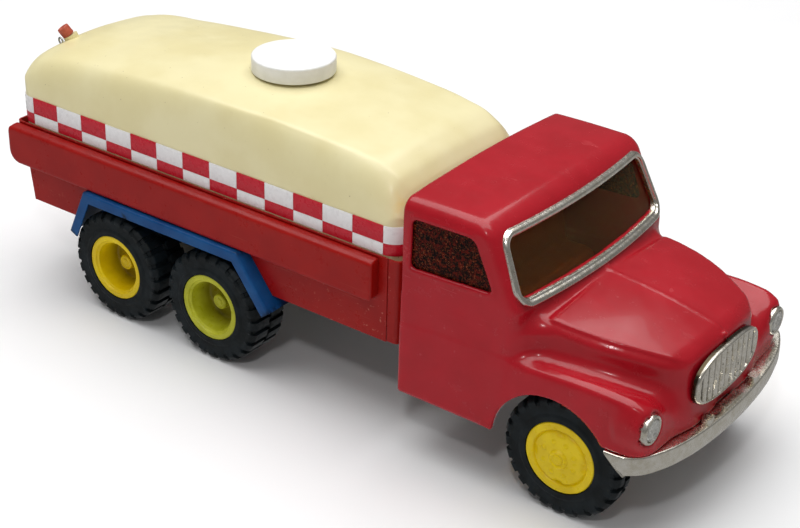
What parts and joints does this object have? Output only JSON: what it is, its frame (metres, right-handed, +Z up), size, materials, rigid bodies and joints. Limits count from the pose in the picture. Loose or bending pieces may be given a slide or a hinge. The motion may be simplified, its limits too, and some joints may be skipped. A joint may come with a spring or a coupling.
{
  "type": "toy tanker truck",
  "caption": "Toy tanker truck with a bonneted cab, a rounded tank on a flat bed, a lift-off filler cap and free-rolling axles",
  "frame": {"origin": "on the ground, under the middle of the overall length and width", "axes": "+X is forward, +Y is the truck's left, +Z is up"},
  "size_m": [0.309, 0.1024, 0.115],
  "materials": {
    "cab_red": "glossy moulded, with scuffs",
    "bed_red": "semi-gloss enamel on tin, scratched",
    "tank_cream": "satin, yellowed",
    "cap_white": "moulded, matte",
    "check_tape": "red and white chequered adhesive tape",
    "mudguard_blue": "blue enamel, chipped",
    "wheel_yellow": "semi-gloss moulded",
    "tyre_black": "blue-black rubber",
    "bright_chrome": "worn bright plating",
    "zinc_steel": "dull plated sheet and wire",
    "amber_glazing": "clear amber plastic",
    "lens_clear": "clear faceted plastic",
    "hose_coral": "aged coral rubber",
    "seat_brown": "moulded, matte"
  },
  "bodies": {
    "truck_body": {"chassis_frame": "zinc_steel", "bogie_bracket": "zinc_steel", "front_axle_bracket": "zinc_steel", "deck_bearer_rear": "zinc_steel", "deck_bearer_middle": "zinc_steel", "deck_bearer_front": "zinc_steel", "bed_deck": "bed_red", "apron_left": "bed_red", "apron_right": "bed_red", "side_skirt_left": "bed_red", "side_skirt_right": "bed_red", "bed_front_wall": "bed_red", "tailboard": "bed_red", "rear_valance": "bed_red", "mudguard_left": "mudguard_blue", "mudguard_right": "mudguard_blue", "tank_shell": "tank_cream", "check_band": "check_tape", "filler_neck": "tank_cream", "outlet_boss": "tank_cream", "hose_stub": "hose_coral", "wire_eyelet": "zinc_steel", "cab_shell": "cab_red", "cab_floor": "zinc_steel", "seat_bench": "seat_brown", "windscreen_frame": "bright_chrome", "windscreen_glazing": "amber_glazing", "side_window_left": "amber_glazing", "side_window_right": "amber_glazing", "rear_window": "amber_glazing", "grille": "bright_chrome", "front_bumper": "bright_chrome", "headlight_bezel_left": "bright_chrome", "headlight_bezel_right": "bright_chrome", "headlight_lens_left": "lens_clear", "headlight_lens_right": "lens_clear", "screw_bearer_rear": "zinc_steel", "screw_bearer_middle": "zinc_steel", "screw_bearer_front": "zinc_steel", "screw_floor_rear": "zinc_steel", "screw_floor_front": "zinc_steel"},
    "front_wheelset": {"front_axle": "zinc_steel", "front_hub_left": "wheel_yellow", "front_tyre_left": "tyre_black", "front_hub_right": "wheel_yellow", "front_tyre_right": "tyre_black"},
    "middle_wheelset": {"middle_axle": "zinc_steel", "middle_hub_left": "wheel_yellow", "middle_tyre_left": "tyre_black", "middle_hub_right": "wheel_yellow", "middle_tyre_right": "tyre_black"},
    "rear_wheelset": {"rear_axle": "zinc_steel", "rear_hub_left": "wheel_yellow", "rear_tyre_left": "tyre_black", "rear_hub_right": "wheel_yellow", "rear_tyre_right": "tyre_black"},
    "filler_cap": {"filler_cap": "cap_white"}
  },
  "joints": [
    {"name": "front_axle_spin", "type": "hinge", "parent": "truck_body", "child": "front_wheelset", "pos_m": [0.1161, 0, 0.023], "axis": [0, 1, 0], "continuous": true},
    {"name": "middle_axle_spin", "type": "hinge", "parent": "truck_body", "child": "middle_wheelset", "pos_m": [-0.044, 0, 0.023], "axis": [0, 1, 0], "continuous": true},
    {"name": "rear_axle_spin", "type": "hinge", "parent": "truck_body", "child": "rear_wheelset", "pos_m": [-0.0949, 0, 0.023], "axis": [0, 1, 0], "continuous": true},
    {"name": "filler_cap_lift", "type": "slide", "parent": "truck_body", "child": "filler_cap", "axis": [0, 0, 1], "range_m": [0, 0.012]}
  ]
}
